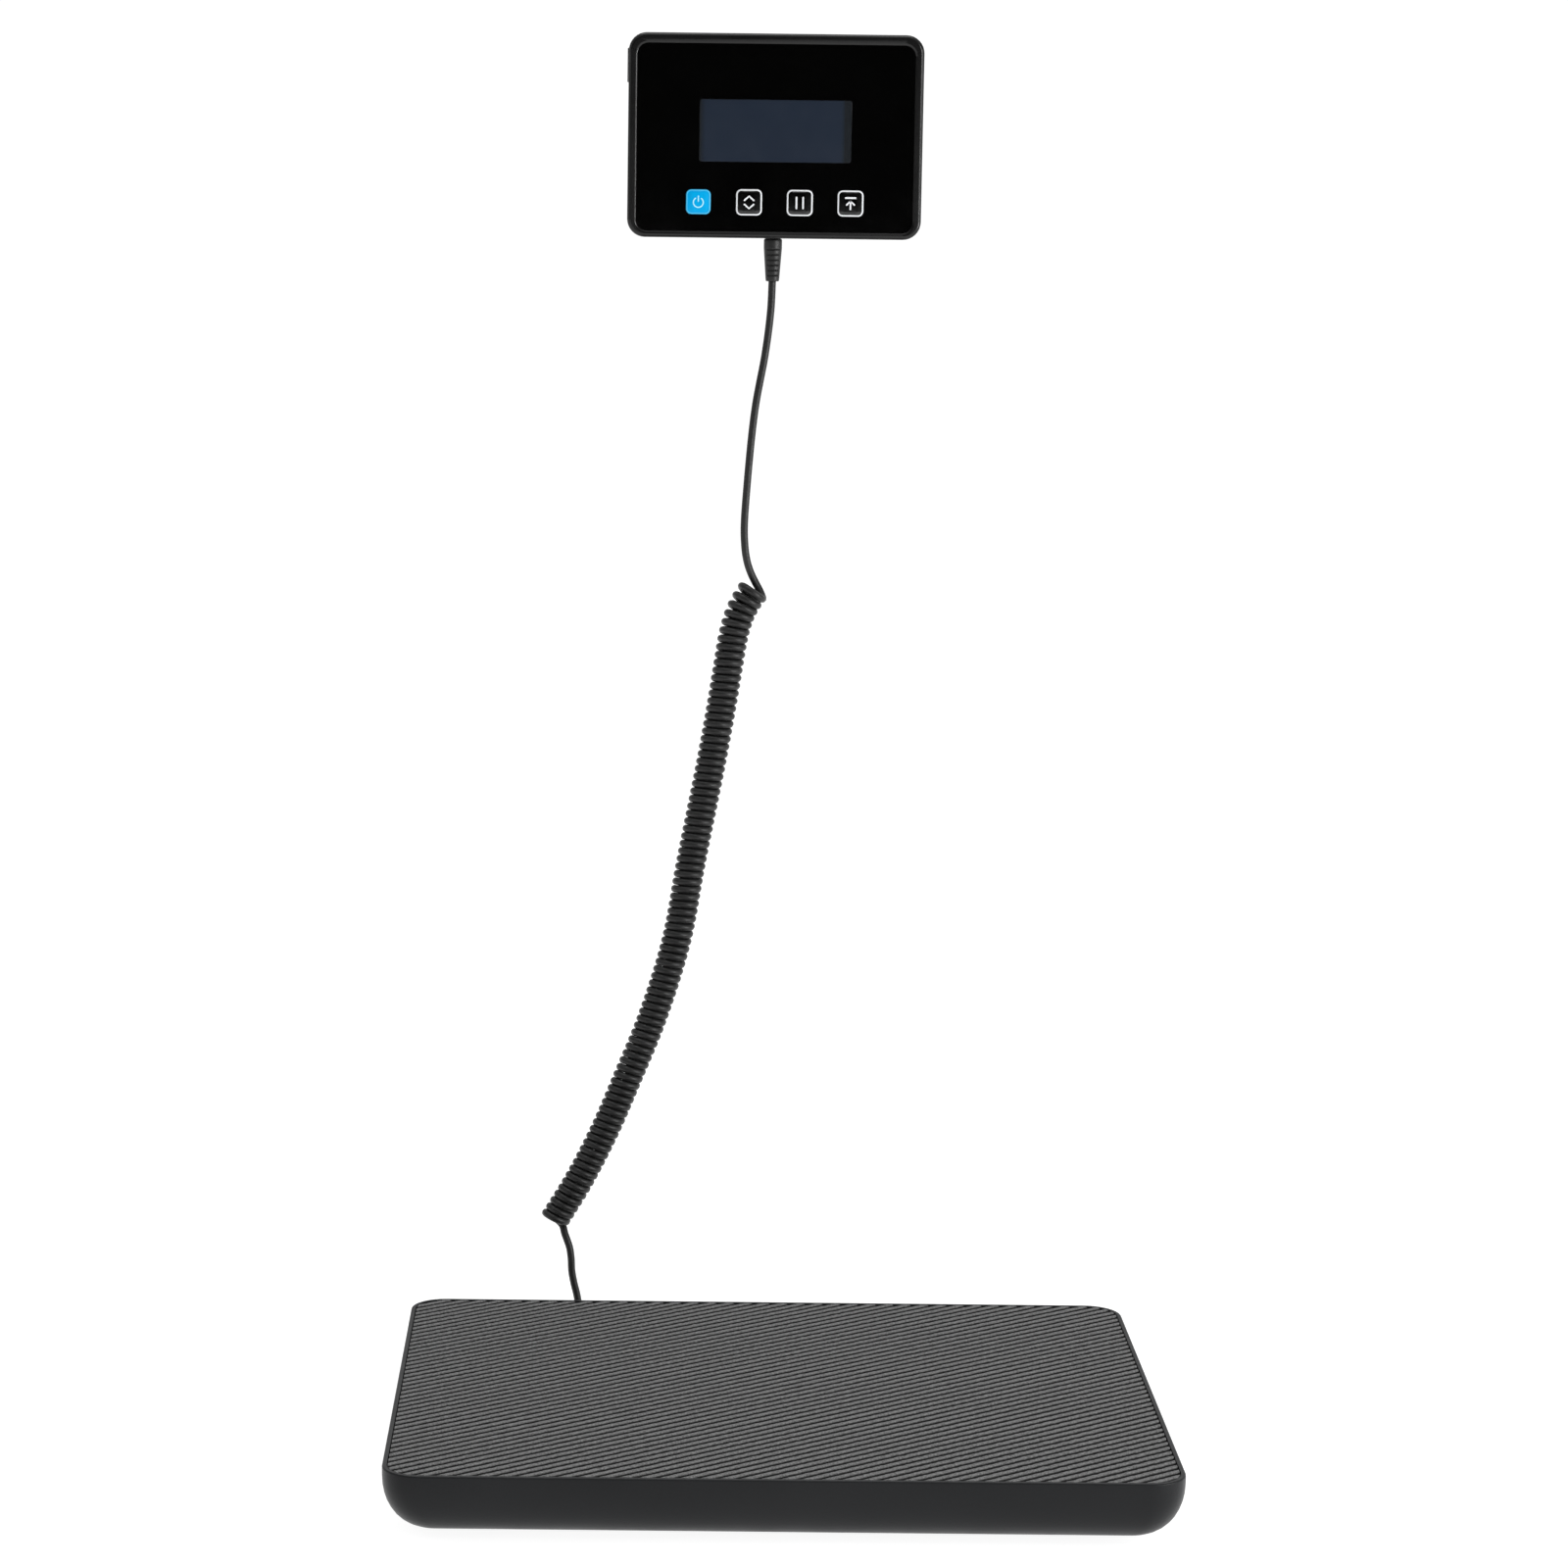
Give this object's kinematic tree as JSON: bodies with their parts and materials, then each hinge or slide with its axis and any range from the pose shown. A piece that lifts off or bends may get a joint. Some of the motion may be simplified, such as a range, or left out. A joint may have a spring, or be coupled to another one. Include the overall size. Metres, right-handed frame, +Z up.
{
  "type": "platform shipping scale",
  "caption": "Low weighing platform with a ribbed rubber deck on load-cell feet, joined by a curly cord to a wall-hung display with an LCD window and press keys.",
  "frame": {"origin": "on the floor, in the middle of the object's box (platform, display and wall bracket, without the cord)", "axes": "+Z up; -Y towards the user, who faces the display; +X to the user's right; the wall is at +Y"},
  "size_m": [0.38, 0.3686, 0.7109],
  "materials": {
    "housing": "fine matt texture",
    "rubber": "matt, ribbed",
    "inner_plastic": "matt",
    "plated_steel": "plated",
    "cell_steel": "ground",
    "screws": "blackened",
    "circuit_board": "satin",
    "leads": "satin",
    "cord": "satin",
    "display_shell": "satin",
    "gloss_panel": "polished",
    "lcd": "polished",
    "diffuser": "matt",
    "power_key": "satin",
    "keys": "polished",
    "silicone": "matt",
    "battery": "satin"
  },
  "bodies": {
    "root": {"base_plate": "inner_plastic", "base_screw_1": "screws", "base_screw_2": "screws", "base_screw_3": "screws", "base_screw_4": "screws", "base_screw_5": "screws", "base_screw_6": "screws", "cable_gland": "cord", "cord_coil": "cord", "cord_tail": "cord", "deck_mat": "rubber", "foot_1": "inner_plastic", "foot_2": "inner_plastic", "foot_3": "inner_plastic", "foot_4": "inner_plastic", "foot_pad_1": "rubber", "foot_pad_2": "rubber", "foot_pad_3": "rubber", "foot_pad_4": "rubber", "junction_board": "circuit_board", "load_cell_1": "cell_steel", "load_cell_2": "cell_steel", "load_cell_3": "cell_steel", "load_cell_4": "cell_steel", "platform_housing": "housing", "sensor_lead_1": "leads", "sensor_lead_2": "leads", "sensor_lead_3": "leads", "sensor_lead_4": "leads", "stiffener_plate": "plated_steel", "wall_bracket": "inner_plastic"},
    "display": {"battery_1": "battery", "battery_2": "battery", "battery_3": "battery", "battery_contact_left": "plated_steel", "battery_contact_right": "plated_steel", "battery_spring_1": "plated_steel", "battery_spring_2": "plated_steel", "battery_spring_3": "plated_steel", "cord_upper": "cord", "display_back": "display_shell", "display_front": "display_shell", "display_screw_1": "screws", "display_screw_2": "screws", "display_screw_3": "screws", "display_screw_4": "screws", "dome_sheet": "silicone", "front_panel": "gloss_panel", "jack_pin": "plated_steel", "jack_socket": "inner_plastic", "lcd_backlight": "diffuser", "lcd_module": "lcd", "main_board": "circuit_board", "plug_boot": "cord"},
    "key_power": {"key_power": "power_key"},
    "key_unit": {"key_unit": "keys"},
    "key_hold": {"key_hold": "keys"},
    "key_tare": {"key_tare": "keys"},
    "battery_door": {"battery_door": "display_shell"}
  },
  "joints": [
    {"name": "display_lift", "type": "slide", "parent": "root", "child": "display", "axis": [0, 0, 1], "range_m": [0, 0.01], "deforming": ["cord_coil"]},
    {"name": "key_power_press", "type": "slide", "parent": "display", "child": "key_power", "axis": [0, 1, 0], "range_m": [0, 0.0007], "stiffness_N_per_m": 400},
    {"name": "key_unit_press", "type": "slide", "parent": "display", "child": "key_unit", "axis": [0, 1, 0], "range_m": [0, 0.0007], "stiffness_N_per_m": 400},
    {"name": "key_hold_press", "type": "slide", "parent": "display", "child": "key_hold", "axis": [0, 1, 0], "range_m": [0, 0.0007], "stiffness_N_per_m": 400},
    {"name": "key_tare_press", "type": "slide", "parent": "display", "child": "key_tare", "axis": [0, 1, 0], "range_m": [0, 0.0007], "stiffness_N_per_m": 400},
    {"name": "battery_door_hinge", "type": "hinge", "parent": "display", "child": "battery_door", "pos_m": [-0.0036, 0.1817, 0.6257], "axis": [-1, 0, 0], "range_deg": [0, 70]}
  ]
}
